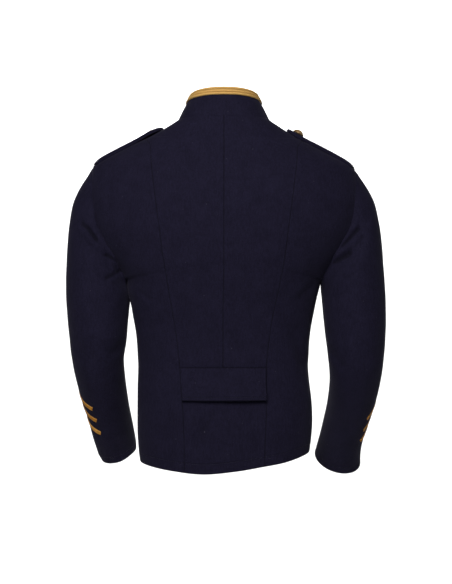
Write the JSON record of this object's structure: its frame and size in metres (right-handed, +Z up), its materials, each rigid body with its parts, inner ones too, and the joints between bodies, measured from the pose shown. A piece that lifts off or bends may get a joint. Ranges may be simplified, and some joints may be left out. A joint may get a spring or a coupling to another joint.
{
  "type": "hussar jacket",
  "caption": "Wool uniform jacket as worn, hollow, with a stand collar edged in braid, shoulder straps, chevron cuff braid, a waist tab behind and a buttoned front.",
  "frame": {"origin": "centre of the neck base, level with the seam of the collar at the sides, where a wearer's shoulders or a hanger hold the jacket", "axes": "+X towards the wearer's left, +Y towards the wearer's back, +Z up"},
  "size_m": [0.5691, 0.2667, 0.6903],
  "materials": {
    "wool": "milled wool cloth, dark navy, matt with a short nap",
    "gold_braid": "gold braid, satin",
    "button_brass": "antique brass, semi-bright"
  },
  "bodies": {
    "root": {"back_centre_left": "wool", "back_centre_right": "wool", "back_side_left": "wool", "back_side_right": "wool", "back_skirt": "wool", "waist_tab": "wool", "front_left": "wool", "front_right": "wool", "sleeve_top_left": "wool", "sleeve_top_right": "wool", "sleeve_under_left": "wool", "sleeve_under_right": "wool", "collar": "wool", "epaulette_left": "wool", "epaulette_right": "wool", "collar_braid": "gold_braid", "cuff_stripe_left_1": "gold_braid", "cuff_stripe_left_2": "gold_braid", "cuff_stripe_left_3": "gold_braid", "cuff_stripe_right_1": "gold_braid", "cuff_stripe_right_2": "gold_braid", "cuff_stripe_right_3": "gold_braid", "epaulette_button_left": "button_brass", "epaulette_button_right": "button_brass", "front_button_1": "button_brass", "front_button_2": "button_brass", "front_button_3": "button_brass", "front_button_4": "button_brass", "front_button_5": "button_brass", "front_button_6": "button_brass", "front_button_7": "button_brass", "front_button_8": "button_brass"}
  },
  "joints": []
}
